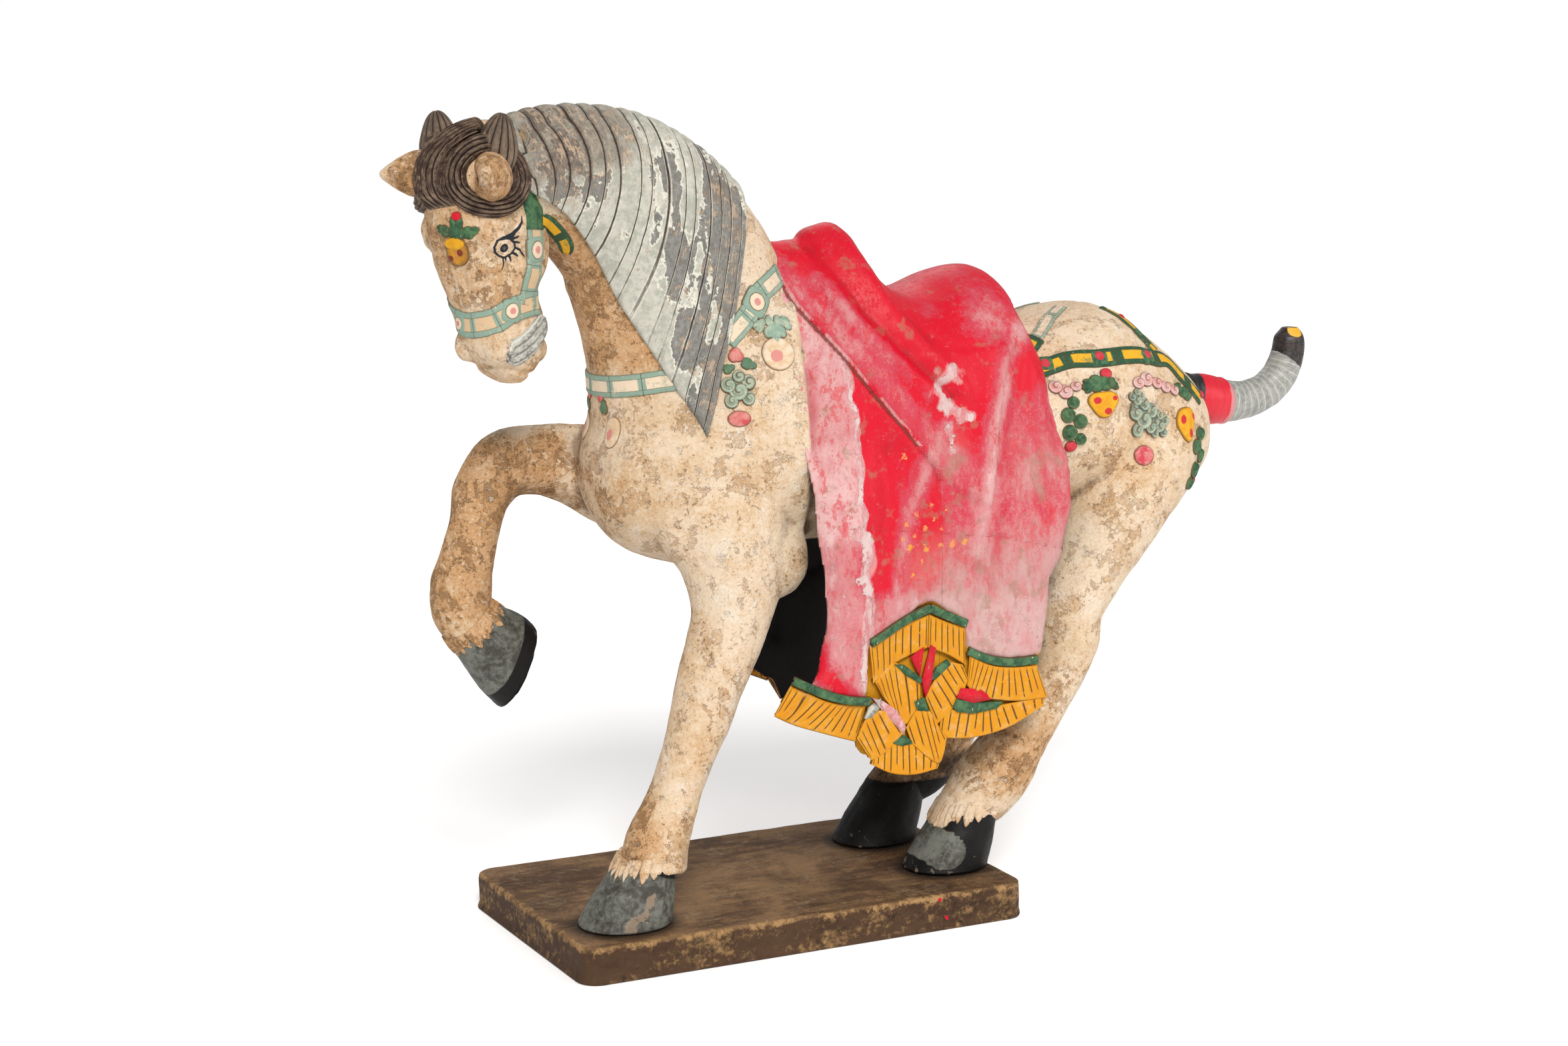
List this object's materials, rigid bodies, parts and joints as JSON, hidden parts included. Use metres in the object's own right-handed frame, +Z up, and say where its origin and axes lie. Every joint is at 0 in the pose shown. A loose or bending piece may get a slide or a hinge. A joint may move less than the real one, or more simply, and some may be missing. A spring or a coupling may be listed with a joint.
{
  "type": "terracotta horse statuette",
  "caption": "Painted terracotta horse on a flat rectangular plinth: one forefoot raised, head bent down and turned aside, combed mane, draped fringed saddle cloth.",
  "frame": {"origin": "centre of the plinth's flat underside, on the surface that the statuette stands on", "axes": "+X along the plinth towards the tail, so the head is at -X; -Y is the horse's own left side, the one it turns its head to; +Z up"},
  "size_m": [0.5877, 0.165, 0.4594],
  "materials": {
    "painted_terracotta": "worn matt paint over a pale slip on fired clay: cream body, red cloth, grey-blue mane",
    "brown_clay": "worn dark brown paint over clay, rubbed golden at the edges"
  },
  "bodies": {
    "root": {"horse": "painted_terracotta", "plinth": "brown_clay"}
  },
  "joints": []
}
